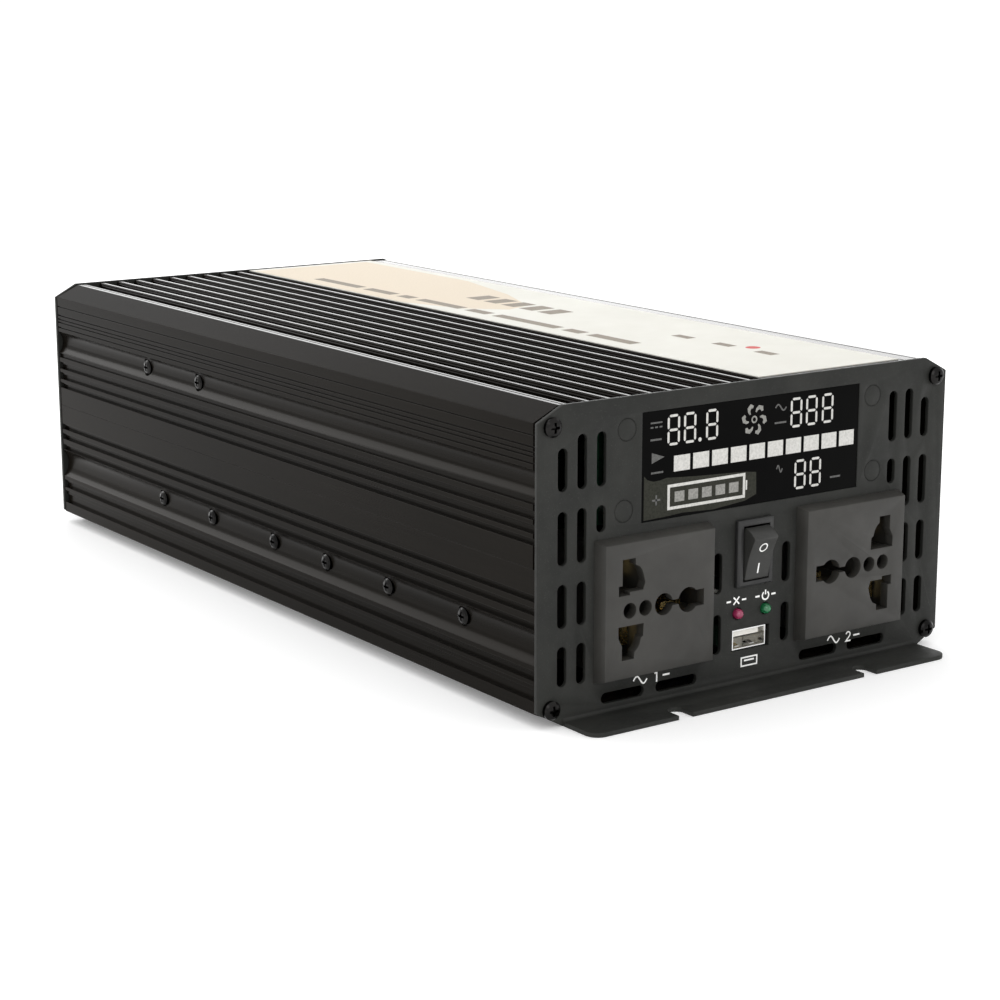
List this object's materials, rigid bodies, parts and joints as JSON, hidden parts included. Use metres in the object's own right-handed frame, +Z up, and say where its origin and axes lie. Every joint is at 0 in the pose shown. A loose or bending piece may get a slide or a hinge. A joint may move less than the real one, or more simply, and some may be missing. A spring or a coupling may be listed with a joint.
{
  "type": "power inverter",
  "caption": "Finned aluminium power inverter and charger with mains sockets, rocker switch, display window, USB outlet, fans and screw terminals.",
  "frame": {"origin": "under the middle of the whole object, on the surface it stands on", "axes": "+X right as seen from the front, front panel facing -Y, +Z up"},
  "size_m": [0.169, 0.384, 0.1],
  "materials": {
    "anodised_black": "black anodised, satin, faint lengthwise draw lines",
    "panel_coat": "fine matt powder coat",
    "black_steel": "black zinc",
    "zinc_steel": "bright zinc",
    "label_cream": "satin printed film",
    "lens_black": "polished",
    "matt_black": "fine moulded texture",
    "rocker_black": "semi-gloss moulded",
    "socket_grey": "fine moulded texture",
    "brass": "stamped and turned",
    "copper": "drawn copper",
    "lamp_red": "tinted epoxy",
    "lamp_green": "tinted epoxy",
    "bright_metal": "nickel plated",
    "tongue_plastic": "moulded",
    "nylon_white": "moulded",
    "board_green": "solder mask",
    "package_black": "moulded epoxy",
    "bare_aluminium": "drawn",
    "ferrite": "sintered",
    "winding_tape": "polyester tape",
    "capacitor_sleeve": "shrink sleeve",
    "relay_blue": "moulded",
    "fan_black": "fine moulded texture",
    "guard_chrome": "bright plated wire",
    "red_plastic": "moulded",
    "black_plastic": "moulded"
  },
  "bodies": {
    "case": {"upper_shell": "anodised_black", "lower_shell": "anodised_black", "front_panel": "panel_coat", "rear_panel": "panel_coat", "panel_screws": "black_steel", "top_label": "label_cream", "display_lens": "lens_black", "display_module": "matt_black", "display_board": "board_green", "display_fasteners": "zinc_steel", "switch_housing": "matt_black", "switch_terminals": "brass", "led_fault": "lamp_red", "led_power": "lamp_green", "usb_shell": "bright_metal", "usb_tongue": "tongue_plastic", "front_board": "board_green", "front_board_spacers": "nylon_white", "main_board": "board_green", "board_fasteners": "zinc_steel", "power_transistors": "package_black", "bridge_rectifiers": "package_black", "clamp_bars": "bare_aluminium", "side_screws": "black_steel", "transformer_cores": "ferrite", "transformer_windings": "winding_tape", "bus_capacitors": "capacitor_sleeve", "input_capacitors": "capacitor_sleeve", "inductor_core": "ferrite", "inductor_winding": "copper", "control_board": "board_green", "changeover_relays": "relay_blue", "fan_fasteners": "zinc_steel", "fan_guards": "guard_chrome", "terminal_nuts": "brass", "bus_bars": "copper", "earth_stud": "brass", "earth_nut": "brass", "mains_inlet": "matt_black", "inlet_pins": "brass", "inlet_fasteners": "black_steel", "left_socket_face": "socket_grey", "left_socket_body": "socket_grey", "left_socket_contacts": "brass", "left_fan_frame": "fan_black", "right_socket_face": "socket_grey", "right_socket_body": "socket_grey", "right_socket_contacts": "brass", "right_fan_frame": "fan_black", "red_insulator": "red_plastic", "red_stud": "brass", "black_insulator": "black_plastic", "black_stud": "brass"},
    "black_knob": {"black_knob": "black_plastic"},
    "black_washer": {"black_washer": "brass"},
    "left_fan_rotor": {"left_fan_rotor": "fan_black"},
    "red_knob": {"red_knob": "red_plastic"},
    "red_washer": {"red_washer": "brass"},
    "right_fan_rotor": {"right_fan_rotor": "fan_black"},
    "switch_rocker": {"switch_rocker": "rocker_black"}
  },
  "joints": [
    {"name": "rocker_tilt", "type": "hinge", "parent": "case", "child": "switch_rocker", "pos_m": [0.0006, -0.176, 0.0444], "axis": [-1, 0, 0], "range_deg": [0, 36]},
    {"name": "left_fan_spin", "type": "hinge", "parent": "case", "child": "left_fan_rotor", "pos_m": [-0.042, 0.152, 0.061], "axis": [0, 1, 0], "continuous": true},
    {"name": "right_fan_spin", "type": "hinge", "parent": "case", "child": "right_fan_rotor", "pos_m": [0.042, 0.152, 0.061], "axis": [0, 1, 0], "continuous": true},
    {"name": "red_washer_slide", "type": "slide", "parent": "case", "child": "red_washer", "axis": [0, 1, 0], "range_m": [0, 0.005]},
    {"name": "red_knob_turn", "type": "hinge", "parent": "red_washer", "child": "red_knob", "pos_m": [-0.018, 0.182, 0.021], "axis": [0, 1, 0], "range_deg": [0, 1440]},
    {"name": "black_washer_slide", "type": "slide", "parent": "case", "child": "black_washer", "axis": [0, 1, 0], "range_m": [0, 0.005]},
    {"name": "black_knob_turn", "type": "hinge", "parent": "black_washer", "child": "black_knob", "pos_m": [-0.048, 0.182, 0.021], "axis": [0, 1, 0], "range_deg": [0, 1440]}
  ],
  "couplings": [
    {"joint": "red_washer_slide", "follows": "red_knob_turn", "m_per_rad": 0.00019894},
    {"joint": "black_washer_slide", "follows": "black_knob_turn", "m_per_rad": 0.00019894}
  ]
}
